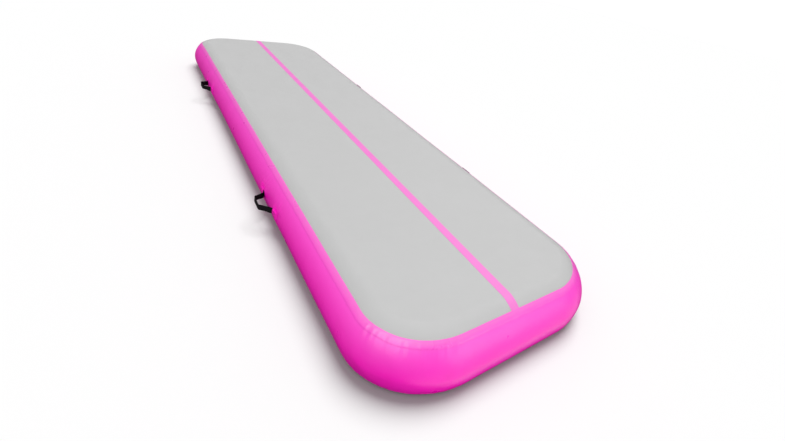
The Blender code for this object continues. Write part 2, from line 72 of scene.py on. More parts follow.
# ---- Sizes, from the frame ----

WALL_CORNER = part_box("outer_side_wall")[1]
HALF_WIDTH = WALL_CORNER.x
HALF_LENGTH = WALL_CORNER.y
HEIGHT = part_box("top_panel_left")[1].z
CORNER_RADIUS = 0.29
BULGE_HEIGHT = 0.07
SHOULDER_REACH = 0.126
SHOULDER_POWER = 1.7
FOOT_REACH = 0.03
FOOT_POWER = 2.4

COVER = 0.8 * MM
TAPE = 0.8 * MM
LIFT = 0.32 * MM
TAPE_UNDERSIDE = 0.3 * LIFT
STAND_OUT = 1.4 * MM
LOWEST = -0.1 * MM
TOP_JOINT = 0.61
JOINT_GAP = 0.003
JOINT_GAP_SIDE = 0.2 * MM
TAPE_ON_STRIPE = 0.35 * MM
SHARP_ANGLE = 50
WELD = 0.02 * MM
BOTTOM_JOINT = -0.58
TOP_TAPE = (0.67, 0.545)
BOTTOM_TAPE = (-0.44, -0.71)
TOP_TAPE_CLEAR = 0.69
BOTTOM_TAPE_CLEAR = -0.73
STRIPE_HALF = 17 * MM
LAP_X = -0.14
LAP_HALF = 20 * MM

WEBBING_WIDTH = 25 * MM
WEBBING = 2.5 * MM
HANDLE_REACH = 47 * MM
HANDLE_FOOT = 70 * MM
HANDLE_TOP = 36 * MM
POCKET_MOUTH = 81 * MM
POCKET_END = 138 * MM
POCKET_HALF = 30 * MM
SEWN_END = 120 * MM
POCKET_SKIN = 1.0 * MM
BEND_RADIUS = 9 * MM
ARC_STEPS = 12
STRAP_STEP = 1.8 * MM
STRAP_SIDES = 40
STRAP_MARGIN = 1.5 * MM
STRAP_CURL = 0.5 * MM
STRAP_SAG = 1.2 * MM
PATCH_FADE = 8 * MM
PATCH_RINGS = 26
PATCH_SIDES = 112
PATCH_SQUARENESS = 7
THREAD = 0.35 * MM
THREAD_RINGS = 6
THREAD_SIDES = 6
STITCH_PITCH = 3.6 * MM
STITCH_LENGTH = 2.8 * MM

VALVE_HOLE = 15.6 * MM
GASKET_MIDDLE = 1.9 * MM
# Radius, height and share of the knurl, in millimetres, up the outside of the cap
CAP_PROFILE = (
    (8.8, 1.6, 0), (9.7, 2.4, 0), (9.9, 3.2, 0), (9.9, 7.35, 0), (14.6, 7.5, 0), (15.4, 7.9, 1),
    (15.6, 8.4, 1), (15.6, 9.6, 1), (15.3, 10.1, 0.6), (14.6, 10.45, 0), (13.4, 10.5, 0),
    (12.9, 10.2, 0), (12.5, 9.9, 0), (4.0, 9.8, 0),
)
CAP_SIDES = 240
KNURL_DEPTH = 0.28 * MM
KNURL_COUNT = 48
GRIP_HALF_LENGTH = 12 * MM
GRIP_HALF_WIDTH = 2.25 * MM
# Height in millimetres and share of the full size, up the bar on the cap
GRIP_PROFILE = ((9.5, 1.0), (10.3, 0.99), (13.2, 0.97), (14.3, 0.94), (14.8, 0.88), (15.0, 0.80))
SPRING_RADIUS = 3.2 * MM
SPRING_WIRE = 0.35 * MM
SPRING_LOW = -14.35 * MM
SPRING_HIGH = -8.65 * MM
SPRING_TURNS = 3
SPRING_STEPS = 24
SPRING_SIDES = 10
VALVE_PATCH_INNER = 25 * MM
VALVE_PATCH_OUTER = 44 * MM
VALVE_PATCH_RINGS = 12
VALVE_PATCH_SIDES = 128

# Depths and widths of the relief's waves, puckers, folds and creases
WAVE, WAVE_WIDTH = 0.9 * MM, 0.42
SMALL_WAVE, SMALL_WAVE_WIDTH = 0.35 * MM, 0.13
TWIST, TWIST_WIDTH = 0.012, 0.05
TOP_PUCKER_WIDTHS = (0.013, 0.006)
FOOT_PUCKER_WIDTHS = (0.016, 0.007)
FINE_PUCKERS = 0.6
PUCKERS_ON_SIDES = 0.10
PUCKERS_IN_CORNERS = 0.62
FOLD, FOLD_WIDTH = 0.9 * MM, 0.055
HANDLE_PULL, PULL_ALONG, PULL_UP = 2.4 * MM, 0.05, 0.035
CREASE, CREASE_START, CREASE_REACH = 1.5 * MM, 0.026, 0.065
HANDLE_HOLLOW = 1.6 * MM
HANDLE_RELIEF_REACH = 0.32
CALM_HEIGHT, CALM_RADIUS, CALM_FADE = 0.2 * MM, 0.030, 0.05

# How far apart the skins' points are round the mat, and how many rows they have
STATION_GAP = 11 * MM
CORNER_STATION_GAP = 4.5 * MM
HANDLE_STATION_GAP = 3 * MM
HANDLE_STATIONS_REACH = 0.21
CLEAR_OF_ENDS = 2 * MM
WALL_ROWS = 38
TAPE_ROWS = 11
ROWS_UNDER_TAPE = 9
TOP_EDGE_ROWS = 18
TOP_FLAT_ROWS = 26
BASE_EDGE_ROWS = 10
BASE_FLAT_ROWS = 12
LAP_ROWS = 60
LAP_COLUMNS = 18
STRIPE_EDGE_ROWS = 18
STRIPE_FLAT_ROWS = 258
STRIPE_COLUMNS = 9
TAPE_WANDER = 0.006

# ---- Looks ----

PINK = (0.82, 0.004, 0.42)
# Painted highlight: a paler pink mixed into the top seam tape, strongest along the seam
TAPE_HIGHLIGHT_PINK = (0.68, 0.116, 0.455)
# Painted highlight: a paler pink mixed into the wall and tape towards the shoulder, where light from above
# falls
SHOULDER_HIGHLIGHT_PINK = (0.74, 0.060, 0.465)
PALE_PINK = (0.60, 0.140, 0.43)
WORN_PINK = (0.85, 0.014, 0.47)
DEEP_PINK = (0.70, 0.002, 0.31)
GREY = (0.355, 0.355, 0.355)

CAMERA_SENSOR = 36
CAMERA_LENS = 16.48387
CAMERA_SHIFT = (-0.115987, 0.035032)
CAMERA_PLACE = (-0.7075, -2.3287, 1.0101)
CAMERA_TURN = (0.931, -0.1887, -0.6465)

# The floor's white as the camera sees it, in the light it throws on the mat, and in reflections
FLOOR_SIZE = 160
FLOOR_GAP = 0.3 * MM
FLOOR_WHITE = (0.93, 0.93, 0.93)
FLOOR_TO_THE_MAT = (0.30, 0.30, 0.30)
FLOOR_MIRRORED = (0.07, 0.07, 0.07)
# The sky's brightness as light, in reflections, and as the backdrop that the camera sees
SKY = 0.37
MIRRORED_SKY = 0.07
BACKDROP = 1.15
# A white card on the floor in front of the near end throws light back up at its wall
CARD_SIZE = (1.7, 0.9)
CARD_X = 0.35
CARD_GAP = 0.02
CARD_POWER = 4.7
# Name, direction it comes from, energy, how many degrees wide it is
SUNS = (
    ("overhead_light", (0.42, 0.32, 1), 2.5, 38),
    ("left_fill", (-1, -0.25, 1.1), 2.2, 40),
    ("front_fill", (0.45, -1, 0.30), 1.12, 40),
)

HANDLES = [joint for joint in frame["joints"] if joint["name"].endswith("_swing")]
VALVE = np.array(sum(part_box("valve_gasket"), Vector()) / 2)


# ---- Repeatable noise ----


def lattice(ix, iy, iz, seed):
    """A repeatable random number from -1 to 1 for each whole-number point."""
    mixed = ix * 374761393 + iy * 668265263 + iz * 1442695041 + seed * 144665
    mixed = mixed & 0xFFFFFFFF
    mixed = ((mixed ^ (mixed >> 13)) * 1274126177) & 0xFFFFFFFF
    return ((mixed ^ (mixed >> 16)) & 0xFFFF) / 32767.5 - 1


def noise(points, size, seed):
    """Smooth noise from -1 to 1 whose lumps are about `size` metres across."""
    scaled = np.asarray(points, float) / size
    whole = np.floor(scaled).astype(np.int64)
    part = scaled - whole
    part = part * part * (3 - 2 * part)
    total = np.zeros(len(scaled))
    for corner in range(8):
        step = np.array([corner & 1, corner >> 1 & 1, corner >> 2 & 1])
        weight = np.prod(np.where(step == 1, part, 1 - part), axis=1)
        cell = whole + step
        total += weight * lattice(cell[:, 0], cell[:, 1], cell[:, 2], seed)
    return total


def line_noise(values, size, seed):
    flat = np.zeros((len(values), 3))
    flat[:, 0] = values
    return noise(flat, size, seed)


def fade(distance, width):
    """1 where the distance is 0 or less, falling smoothly to 0 at the width."""
    t = np.clip(distance / width, 0, 1)
    return 1 - t * t * (3 - 2 * t)


# ---- The mat's surface ----


def profile(place):
    """(outset from the widest line, height) at places on the edge profile."""
    place = np.asarray(place, float)
    angle = np.abs(place) * math.pi / 2
    shoulder = place >= 0
    power = np.where(shoulder, 2 / SHOULDER_POWER, 2 / FOOT_POWER)
    reach = np.where(shoulder, SHOULDER_REACH, FOOT_REACH)
    rise = np.where(shoulder, HEIGHT - BULGE_HEIGHT, -BULGE_HEIGHT)
    across = np.clip(np.cos(angle), 0, 1) ** power
    return reach * (across - 1), BULGE_HEIGHT + rise * np.sin(angle) ** power


def profile_normal(place):
    place = np.clip(np.asarray(place, float), -0.9999, 0.9999)
    step = 1e-4
    low_out, low_z = profile(place - step)
    high_out, high_z = profile(place + step)
    along = np.hypot(high_out - low_out, high_z - low_z)
    return (high_z - low_z) / along, (low_out - high_out) / along


def place_at_height(z):
    table = np.linspace(-1, 1, 4001)
    return float(np.interp(z, profile(table)[1], table))


STRAIGHT_X = 2 * (HALF_WIDTH - CORNER_RADIUS)
STRAIGHT_Y = 2 * (HALF_LENGTH - CORNER_RADIUS)
ARC = math.pi / 2 * CORNER_RADIUS
AROUND = 2 * (STRAIGHT_X + STRAIGHT_Y) + 4 * ARC


def around(s):
    """The widest line's point and outward direction at a distance round it, from the +X +Y corner's start."""
    s = np.mod(np.asarray(s, float), AROUND)
    point = np.zeros((len(s), 2))
    out = np.zeros((len(s), 2))
    corner_x = HALF_WIDTH - CORNER_RADIUS
    corner_y = HALF_LENGTH - CORNER_RADIUS
    start = 0.0
    for corner, (side_x, side_y) in enumerate(((1, 1), (-1, 1), (-1, -1), (1, -1))):
        angle = math.pi / 2 * corner + (s - start) / CORNER_RADIUS
        on_arc = (s >= start) & (s < start + ARC)
        direction = np.stack([np.cos(angle), np.sin(angle)], 1)
        centre = np.array([side_x * corner_x, side_y * corner_y])
        point[on_arc] = (centre + CORNER_RADIUS * direction)[on_arc]
        out[on_arc] = direction[on_arc]
        start += ARC
        length = STRAIGHT_X if corner % 2 == 0 else STRAIGHT_Y
        on_straight = (s >= start) & (s < start + length)
        end_angle = math.pi / 2 * (corner + 1)
        normal = np.array([math.cos(end_angle), math.sin(end_angle)])
        along = np.array([-normal[1], normal[0]])
        straight = centre + CORNER_RADIUS * normal + np.outer(s - start, along)
        point[on_straight] = straight[on_straight]
        out[on_straight] = normal
        start += length
    return point, out


def corner_share(points):
    """1 in the mat's corners, fading to 0 along the straight sides."""
    beyond = np.minimum(
        np.abs(points[:, 0]) - (HALF_WIDTH - CORNER_RADIUS) + 0.02,
        np.abs(points[:, 1]) - (HALF_LENGTH - CORNER_RADIUS) + 0.02,
    )
    return 1 - fade(beyond, 0.10)


def handle_frame(joint):
    """(origin, out, along, up, side) of a handle on the wall."""
    origin = np.array(joint["pos_m"])
    side = math.copysign(1, origin[0])
    normal_out, normal_z = profile_normal(place_at_height(origin[2]))
    out = np.array([side * normal_out, 0, normal_z])
    up = np.array([-side * normal_z, 0, normal_out])
    return origin, out, np.array([0, 1.0, 0]), up, side


def handle_relief(points):
    """The pull of each handle on the wall, and the creases that run out of its patches."""
    total = np.zeros(len(points))
    for index, joint in enumerate(HANDLES):
        origin, _, along_axis, up_axis, side = handle_frame(joint)
        offset = points - origin
        near = (points[:, 0] * side > 0) & (np.abs(offset[:, 1]) < HANDLE_RELIEF_REACH)
        if not near.any():
            continue
        along = offset[near] @ along_axis
        up = offset[near] @ up_axis
        moved = np.zeros(len(along))
        for half in (-1, 1):
            from_root = along * half - HANDLE_FOOT
            pull = np.exp(-((from_root - 0.02) ** 2 / PULL_ALONG**2 + up**2 / PULL_UP**2))
            moved += HANDLE_PULL * pull
            middle = (POCKET_MOUTH + POCKET_END) / 2
            reach = np.hypot(along * half - middle, up * 0.95)
            angle = np.arctan2(up, along * half - middle)
            edge = reach - CREASE_START
            seed = 11 + 7 * index + (half > 0)
            bend = 1.3 * line_noise(reach + 10 * seed, 0.022, seed)
            spokes = np.sin(angle * 5 + bend + seed) + 0.7 * np.sin(angle * 9 - 1.7 * bend + 2 * seed)
            creases = np.abs(spokes) ** 0.7 - 0.55
            strength = fade(edge, CREASE_REACH) * (1 - fade(edge + 0.012, 0.014))
            moved += CREASE * creases * strength
        between = fade(np.abs(along) - 0.03, 0.04) * fade(np.abs(up) - 0.01, 0.05)
        total[near] += moved - HANDLE_HOLLOW * between
    return total


def relief(points, place, s):
    """How far the skins stand out of the plain profile, in metres."""
    s = np.mod(s, AROUND)
    waves = WAVE * noise(points, WAVE_WIDTH, 1) + SMALL_WAVE * noise(points, SMALL_WAVE_WIDTH, 2)
    corner = corner_share(points)
    # Short puckers run down from the top seam and up from the bottom one, most of all in the corners.
    twist = TWIST * noise(points, TWIST_WIDTH, 3)
    wide, narrow = TOP_PUCKER_WIDTHS
    top_lines = line_noise(s + twist, wide, 4) + FINE_PUCKERS * line_noise(s + twist, narrow, 5)
    top_reach = 0.26 + 0.16 * line_noise(s, 0.03, 6)
    top = fade(0.60 - place, top_reach) * fade(place - 0.62, 0.03)
    wide, narrow = FOOT_PUCKER_WIDTHS
    foot_lines = line_noise(s - twist, wide, 7) + FINE_PUCKERS * line_noise(s, narrow, 8)
    foot = fade(place + 0.50, 0.42) * fade(-0.62 - place, 0.03)
    strength = PUCKERS_ON_SIDES + PUCKERS_IN_CORNERS * corner
    puckers = MM * strength * (top * top_lines + 0.9 * foot * foot_lines)
    # Long soft folds cross the corners from seam to seam.
    folds = FOLD * corner * line_noise(s + 0.18 * place + twist, FOLD_WIDTH, 9)
    body = fade(np.abs(place) - 0.25, 0.35)
    total = STAND_OUT + waves + puckers + folds * body + handle_relief(points)
    calm = fade(np.linalg.norm(points - VALVE, axis=1) - CALM_RADIUS, CALM_FADE)
    total = total + (CALM_HEIGHT - total) * calm
    return np.maximum(total, LOWEST) * fade(-0.70 - place, 0.25)


def skin(place, s, lift):
    """Points on the mat, that far above its relief, with one place and one s for each."""
    place = np.asarray(place, float)
    s = np.asarray(s, float)
    base, out = around(s)
    outset, z = profile(place)
    normal_out, normal_z = profile_normal(place)
    flat = np.column_stack([base + out * outset[:, None], z])
    normal = np.column_stack([out * normal_out[:, None], normal_z])
    return flat + normal * (relief(flat, place, s) + lift)[:, None]


def skin_grid(place, s, lift):
    """The same for grids of places, distances round and lifts, broadcast together."""
    place, s, lift = np.broadcast_arrays(place, s, lift)
    return skin(place.ravel(), s.ravel(), lift.ravel()).reshape(*place.shape, 3)


def stations():
    """Distances round the mat, closer together at the corners and the handles."""
    fine = np.arange(0, AROUND, 1 * MM)
    point, _ = around(fine)
    gap = np.full(len(fine), STATION_GAP)
    corner = corner_share(np.column_stack([point, np.zeros(len(fine))])) > 0.01
    gap[corner] = CORNER_STATION_GAP
    for joint in HANDLES:
        origin = joint["pos_m"]
        near = point[:, 0] * origin[0] > 0
        near &= np.abs(point[:, 1] - origin[1]) < HANDLE_STATIONS_REACH
        gap[near & (np.abs(point[:, 0]) > HALF_WIDTH - 1 * MM)] = HANDLE_STATION_GAP
    steps = np.cumsum(1 * MM / gap)
    count = int(steps[-1])
    return np.interp(np.arange(count) * steps[-1] / count, steps, fine)


# ---- Mesh helpers ----


def link(obj):
    bpy.context.scene.collection.objects.link(obj)
    return obj


def new_object(name, points, faces, uvs=None):
    mesh = bpy.data.meshes.new(name)
    mesh.from_pydata(np.asarray(points, float).tolist(), [], faces)
    mesh.shade_smooth()
    obj = link(bpy.data.objects.new(name, mesh))
    if uvs is not None:
        corner_points = np.empty(len(mesh.loops), np.int32)
        mesh.loops.foreach_get("vertex_index", corner_points)
        corners = np.asarray(uvs, np.float32)[corner_points].reshape(-1, 4, 2)
        # The faces that close a band carry on past the mat's whole length round, not back to 0.
        behind = corners[..., 0].max(axis=1)[:, None] - corners[..., 0] > AROUND / 2
        corners[..., 0] += AROUND * behind
        mesh.uv_layers.new(name="metres").data.foreach_set("uv", corners.ravel())
    return obj


def quads_of(index):
    """A face for each square of a grid of point numbers."""
    corners = (index[:-1, :-1], index[:-1, 1:], index[1:, 1:], index[1:, :-1])
    return np.stack(corners, -1).reshape(-1, 4)


def tube_faces(rings, sides, first=0):
    """(point numbers, faces) of a tube of rings of points, open at its ends."""
    index = first + np.arange(rings * sides).reshape(rings, sides)
    return index, quads_of(np.concatenate([index, index[:, :1]], axis=1)).tolist()


def turns(count):
    return np.linspace(0, 2 * math.pi, count, endpoint=False)


def squared(wave, power):
    """A sine or cosine bent towards a square wave, for rounded rectangles."""
    return np.sign(wave) * np.abs(wave) ** power


def grid_faces(rows, columns, around_rows, around_columns):
    """Faces of a closed shell: an outer grid, then an inner one, with walls at the open edges."""
    layer = rows * columns
    index = np.arange(layer).reshape(rows, columns)
    if around_rows:
        index = np.concatenate([index, index[:1]])
    if around_columns:
        index = np.concatenate([index, index[:, :1]], axis=1)
    quads = quads_of(index)
    faces = [quads, quads[:, ::-1] + layer]
    edges = []
    if not around_rows:
        edges += [index[0, ::-1], index[-1]]
    if not around_columns:
        edges += [index[:, 0], index[::-1, -1]]
    for edge in edges:
        faces.append(np.stack([edge[:-1], edge[1:], edge[1:] + layer, edge[:-1] + layer], -1)[:, ::-1])
    return np.concatenate(faces).tolist()


def tidy_mesh(obj, merge=0.0):
    """Welds points that share a place, and turns every face to point out."""
    work = bmesh.new()
    work.from_mesh(obj.data)
    if merge:
        bmesh.ops.remove_doubles(work, verts=work.verts, dist=merge)
    bmesh.ops.recalc_face_normals(work, faces=work.faces)
    work.to_mesh(obj.data)
    work.free()
    obj.data.shade_smooth()
    obj.data.set_sharp_from_angle(angle=math.radians(SHARP_ANGLE))


def shell(name, outer, inner, uvs, around_rows=False, around_columns=False, merge=0.0):
    """A thin closed piece between two grids of points, each rows x columns x 3."""
    rows, columns = outer.shape[:2]
    points = np.concatenate([outer.reshape(-1, 3), inner.reshape(-1, 3)])
    both = np.concatenate([uvs.reshape(-1, 2)] * 2)
    faces = grid_faces(rows, columns, around_rows, around_columns)
    obj = new_object(name, points, faces, both)
    tidy_mesh(obj, merge)
    return obj


ARC_TABLE_PLACES = np.linspace(-1, 1, 4001)
ARC_TABLE_POINTS = np.stack(profile(ARC_TABLE_PLACES), 1)
ARC_TABLE = np.concatenate([[0], np.cumsum(np.linalg.norm(np.diff(ARC_TABLE_POINTS, axis=0), axis=1))])


def arc_at(place):
    """The length along the edge profile from the flat bottom up to a place."""
    return np.interp(place, ARC_TABLE_PLACES, ARC_TABLE)


def place_at_arc(arc):
    return np.interp(arc, ARC_TABLE, ARC_TABLE_PLACES)


def even_places(low, high, count):
    """Places evenly spaced along the profile."""
    return place_at_arc(np.linspace(arc_at(low), arc_at(high), count))


def band(name, places, s_values, top, bottom, closed=True):
    """A strip of skin along the mat's edge. places is one list, or one for each s as its columns.

    top may be one lift, or a lift for each row.
    """
    if places.ndim == 1:
        places = places[:, None]
    outer = skin_grid(places, s_values, np.reshape(top, (-1, 1)))
    inner = skin_grid(places, s_values, bottom)
    uvs = np.stack(np.broadcast_arrays(s_values, arc_at(places)), -1)
    return shell(name, outer, inner, uvs, around_columns=closed)


def tape_rows(low, high, count):
    """(places, lifts) across a strip of tape whose edges thin out where they are rolled down."""
    places = even_places(low, high, count)
    lifts = np.full(count, LIFT + TAPE)
    lifts[[0, -1]] = LIFT + 0.15 * MM
    lifts[[1, -2]] = LIFT + 0.75 * TAPE
    return places, lifts


# ---- Pieces of skin ----

STATIONS = stations()
FAR_END_MIDDLE = ARC + STRAIGHT_X / 2
NEAR_END_MIDDLE = FAR_END_MIDDLE + AROUND / 2
LEFT_START = 2 * ARC + STRAIGHT_X
RIGHT_START = 4 * ARC + 2 * STRAIGHT_X + STRAIGHT_Y


def half_skins(name, places, half_gap, edge_rows, flat_rows):
    """A flat panel's two halves with their rolled edges, from the mat's outline in to the middle.

    places are where the panel starts on the profile, where its tape ends and where it is flat.
    """
    joint_place, tape_place, end_place = places
    twice_round = np.concatenate([STATIONS, STATIONS + AROUND])
    made = []
    for side in (-1, 1):
        if side < 0:
            first, last = FAR_END_MIDDLE + half_gap, NEAR_END_MIDDLE - half_gap
        else:
            first, last = NEAR_END_MIDDLE + half_gap, FAR_END_MIDDLE + AROUND - half_gap
        inside = (twice_round > first + CLEAR_OF_ENDS) & (twice_round < last - CLEAR_OF_ENDS)
        s = np.concatenate([[first], twice_round[inside], [last]])
        # Rows as close as the tape's, as far as the tape goes, so that neither shows through the other
        under_tape = even_places(joint_place, tape_place, ROWS_UNDER_TAPE)
        edge_places = np.concatenate([under_tape, even_places(tape_place, end_place, edge_rows)[1:]])
        base, out = around(s)
        rim = base + out * profile(end_place)[0]
        share = (s - first) / (last - first)
        line_y = rim[0, 1] + (rim[-1, 1] - rim[0, 1]) * share
        line = np.column_stack([np.full(len(s), side * half_gap), line_y])
        inward = (np.arange(1, flat_rows + 1) / flat_rows)[:, None, None]
        flat = rim + (line - rim) * inward
        height = float(profile(end_place)[1])
        up = math.copysign(1, end_place)
        layers = []
        for lift in (0, -COVER):
            edge = skin_grid(edge_places[:, None], s, lift)
            level = np.dstack([flat, np.full(flat.shape[:2], height)])
            level_points = level.reshape(-1, 3)
            still = np.full(len(level_points), float(end_place))
            raised = relief(level_points, still, np.zeros(len(level_points))) + lift
            level[..., 2] += up * raised.reshape(flat.shape[:2])
            layers.append(np.concatenate([edge, level]))
        uvs = layers[0][..., :2].copy()
        made.append(shell(name, layers[0], layers[1], uvs, merge=WELD))
    return made


def stripe():
    """The line down the middle of the top, which runs over both ends as far as the wall."""
    edge = even_places(TOP_JOINT + JOINT_GAP, 1, STRIPE_EDGE_ROWS)
    flat_y = np.linspace(-1, 1, STRIPE_FLAT_ROWS + 2)[1:-1]
    across = np.linspace(-1, 1, STRIPE_COLUMNS) * (STRIPE_HALF - JOINT_GAP_SIDE)
    end_y = HALF_LENGTH + float(profile(1)[0])
    layers = []
    for lift in (TAPE_ON_STRIPE, -COVER):
        parts = []
        for end, places in ((-1, edge), (1, edge[::-1])):
            middle = NEAR_END_MIDDLE if end < 0 else FAR_END_MIDDLE
            parts.append(skin_grid(places[:, None], middle - end * across, lift))
        flat = np.zeros((len(flat_y), len(across), 3))
        flat[..., 0] = across[None, :]
        flat[..., 1] = (flat_y * end_y)[:, None]
        flat[..., 2] = HEIGHT
        flat_points = flat.reshape(-1, 3)
        ones = np.ones(len(flat_points))
        flat[..., 2] += (relief(flat_points, ones, 0 * ones) + lift).reshape(flat.shape[:2])
        layers.append(np.concatenate([parts[0], flat, parts[1]]))
    return shell("centre_stripe", layers[0], layers[1], layers[0][..., :2].copy())


# ---- Handles ----


class WallSpot:
    """Places near a handle, as metres along the mat and up the wall from the handle's axis."""

    def __init__(self, joint):
        self.origin, self.out, self.along, self.up, self.side = handle_frame(joint)
        self.arc = float(arc_at(place_at_height(self.origin[2])))
        if self.side < 0:
            self.s = LEFT_START + HALF_LENGTH - CORNER_RADIUS - self.origin[1]
        else:
            self.s = RIGHT_START + HALF_LENGTH - CORNER_RADIUS + self.origin[1]

    def on_wall(self, along, up, lift):
        return skin_grid(place_at_arc(self.arc + up), self.s + self.side * along, lift)

    def off_wall(self, along, up, out):
        """The same place on the flat plane that touches the wall at the handle's axis."""
        along, up, out = np.broadcast_arrays(along, up, out)
        return (
            self.origin
            + along[..., None] * self.along
            + up[..., None] * self.up
            + out[..., None] * self.out
        )


def rounded_path(points, radius, step):
    """Points a step apart along the open path, with an arc of that radius at each inner corner."""
    path = [Vector(points[0])]
    for before, corner, after in zip(points, points[1:], points[2:]):
        before, corner, after = Vector(before), Vector(corner), Vector(after)
        come = (before - corner).normalized()
        leave = (after - corner).normalized()
        half = come.angle(leave) / 2
        start = corner + come * radius / math.tan(half)
        stop = corner + leave * radius / math.tan(half)
        for i in range(ARC_STEPS + 1):
            t = i / ARC_STEPS
            path.append((1 - t) ** 2 * start + 2 * t * (1 - t) * corner + t * t * stop)
    path.append(Vector(points[-1]))
    path = np.array([tuple(p) for p in path])
    lengths = np.concatenate([[0], np.cumsum(np.linalg.norm(np.diff(path, axis=0), axis=1))])
    count = int(lengths[-1] / step)
    at = np.linspace(0, lengths[-1], count)
    return np.column_stack([np.interp(at, lengths, path[:, i]) for i in (0, 1)]), at


def strap_path():
    """(along, out) points down the middle of the webbing, sewn end to sewn end, and the lengths to them."""
    flat = LIFT + WEBBING / 2
    foot = HANDLE_FOOT + (HANDLE_TOP - HANDLE_FOOT) * flat / HANDLE_REACH
    half = [(SEWN_END, flat), (foot, flat), (HANDLE_TOP, HANDLE_REACH)]
    points = [(-v, u) for v, u in half] + half[::-1]
    return rounded_path(points, BEND_RADIUS, STRAP_STEP)


def make_strap(joint, spot, material):
    """One handle's webbing, from sewn end to sewn end, bent where its loop swings."""
    name = joint["child"]
    path, lengths = strap_path()
    tangent = np.gradient(path, axis=0)
    tangent /= np.linalg.norm(tangent, axis=1)[:, None]
    normal = np.column_stack([-tangent[:, 1], tangent[:, 0]])
    turn = turns(STRAP_SIDES)
    across = WEBBING_WIDTH / 2 * squared(np.cos(turn), 0.35)
    thick = WEBBING / 2 * squared(np.sin(turn), 0.55)
    # The loop's middle hangs a little, and its edges curl a touch, as used webbing does.
    free = 1 - fade(path[:, 1] - 4 * MM, 22 * MM)
    curl = STRAP_CURL * free[:, None] * (across / (WEBBING_WIDTH / 2))[None, :] ** 2
    sag = -STRAP_SAG * (1 - fade(path[:, 1] - 20 * MM, 26 * MM))
    out = path[:, 1][:, None] + normal[:, 1][:, None] * thick[None, :] + curl
    along = path[:, 0][:, None] + normal[:, 0][:, None] * thick[None, :]
    up = np.repeat(across[None, :], len(path), axis=0) + sag[:, None]
    near = spot.on_wall(along, up, out)
    far = spot.off_wall(along, up, out)
    points = near + (far - near) * free[:, None, None]
    rows, columns = points.shape[:2]
    index, faces = tube_faces(rows, columns)
    uvs = np.stack(np.broadcast_arrays(lengths[:, None], across[None, :]), -1)
    strap = new_object(name + "_strap", points.reshape(-1, 3), faces, uvs.reshape(-1, 2))
    cap_ends(strap, index[0].tolist(), index[-1].tolist())
    strap.data.materials.append(material)
    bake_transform(strap)
    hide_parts(name + "_loop", name + "_sewn_end_a", name + "_sewn_end_b")
    return strap


def cap_ends(obj, *rings):
    """Closes a tube's ends, then turns its faces to point out."""
    work = bmesh.new()
    work.from_mesh(obj.data)
    work.verts.ensure_lookup_table()
    for ring in rings:
        work.faces.new([work.verts[i] for i in ring])
    work.to_mesh(obj.data)
    work.free()
    tidy_mesh(obj)


def strap_bump(along, up):
    """How far a patch stands off the wall, over the strap's sewn end."""
    end = SEWN_END + STRAP_MARGIN
    raised = fade(np.abs(along) - end, PATCH_FADE)
    raised = raised * fade(np.abs(up) - WEBBING_WIDTH / 2 - STRAP_MARGIN, PATCH_FADE)
    return LIFT + (WEBBING + LIFT) * raised


def make_patch(name, spot, half):
    """The welded patch over one sewn end: a rounded rectangle, thin at its rim, open towards the loop."""
    rings = 1 - np.linspace(0, 1, PATCH_RINGS) ** 1.6
    turn = turns(PATCH_SIDES)
    half_length = (POCKET_END - POCKET_MOUTH) / 2
    outline_x = half_length * squared(np.cos(turn), 2 / PATCH_SQUARENESS)
    outline_y = POCKET_HALF * squared(np.sin(turn), 2 / PATCH_SQUARENESS)
    along = half * ((POCKET_MOUTH + POCKET_END) / 2 + rings[:, None] * outline_x[None, :])
    up = rings[:, None] * outline_y[None, :]
    bump = strap_bump(along, up)
    rim = (1 - rings)[:, None] * half_length
    skin_depth = POCKET_SKIN * (0.35 + 0.65 * (1 - fade(rim, 1.5 * MM)))
    wobble = 0.12 * MM * noise(np.stack([along, up, along * 0 + half], -1).reshape(-1, 3), 0.011, 31)
    outer = spot.on_wall(along, up, bump + skin_depth + wobble.reshape(bump.shape))
    inner = spot.on_wall(along, up, bump)
    uvs = np.stack([along, up], -1)
    return shell(name, outer, inner, uvs, around_columns=True, merge=WELD)


def make_stitching(name, spot, half):
    """The thread that holds one sewn end: a box with a cross in it."""
    low, high = half * (POCKET_MOUTH + 6 * MM), half * (SEWN_END - 3 * MM)
    edge = WEBBING_WIDTH / 2 - 3 * MM
    corners = [(low, -edge), (high, -edge), (high, edge), (low, edge), (low, -edge), (high, edge)]
    lines = list(zip(corners, corners[1:])) + [((low, edge), (high, -edge))]
    turn = turns(THREAD_SIDES)
    points = []
    faces = []
    for start, stop in lines:
        start, stop = np.array(start), np.array(stop)
        length = np.linalg.norm(stop - start)
        direction = (stop - start) / length
        beside = np.array([-direction[1], direction[0]])
        count = max(int(length / STITCH_PITCH), 1)
        for stitch in range(count):
            from_start = (stitch + 0.5) * length / count
            t = np.linspace(-1, 1, THREAD_RINGS)
            centre = start + direction * (from_start + t[:, None] * STITCH_LENGTH / 2)
            thin = THREAD * np.sqrt(np.clip(1 - 0.85 * t**4, 0, 1))
            height = THREAD * (0.9 - 1.3 * t**2)
            across = thin[:, None] * np.cos(turn)[None, :]
            flat = centre[:, None, :] + beside * across[..., None]
            lift = height[:, None] + thin[:, None] * np.sin(turn)[None, :]
            top = strap_bump(flat[..., 0], flat[..., 1]) + POCKET_SKIN
            first = len(points) * THREAD_RINGS * THREAD_SIDES
            points.append(spot.on_wall(flat[..., 0], flat[..., 1], top + lift).reshape(-1, 3))
            index, sides = tube_faces(THREAD_RINGS, THREAD_SIDES, first)
            faces += sides + [index[0, ::-1].tolist(), index[-1].tolist()]
    obj = new_object(name, np.concatenate(points), faces)
    tidy_mesh(obj)
    return obj


# ---- Valve ----


